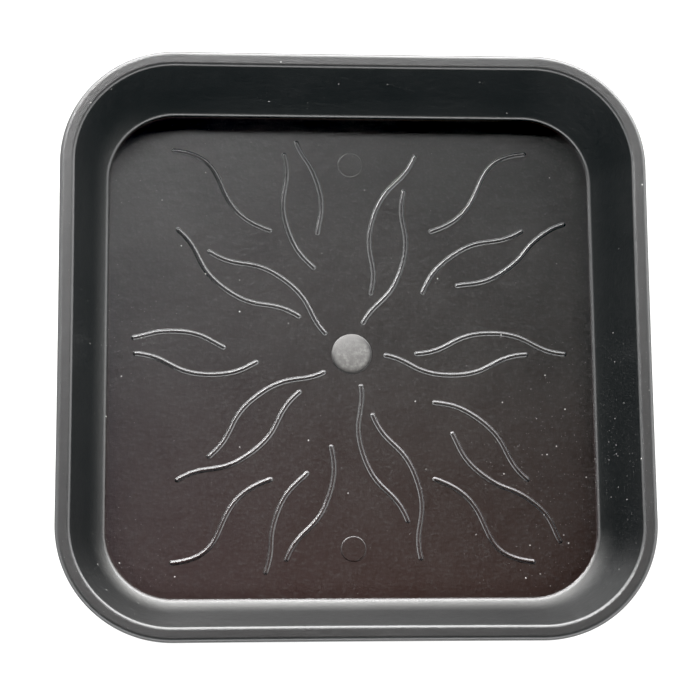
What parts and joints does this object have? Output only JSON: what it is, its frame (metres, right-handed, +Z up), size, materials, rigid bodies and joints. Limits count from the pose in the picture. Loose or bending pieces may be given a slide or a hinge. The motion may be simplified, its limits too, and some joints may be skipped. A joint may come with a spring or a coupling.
{
  "type": "square plant saucer",
  "caption": "Square dish with rounded corners, leaning walls, a turned-down rim and waved ribs on its floor, set under a plant pot to catch drained water.",
  "frame": {"origin": "middle of the foot ring, on the surface that the saucer stands on", "axes": "+Z up out of the dish, +X and +Y square to its straight sides"},
  "size_m": [0.281, 0.281, 0.043],
  "materials": {
    "dark_plastic": "satin dark grey moulded plastic"
  },
  "bodies": {
    "root": {"saucer": "dark_plastic"}
  },
  "joints": []
}
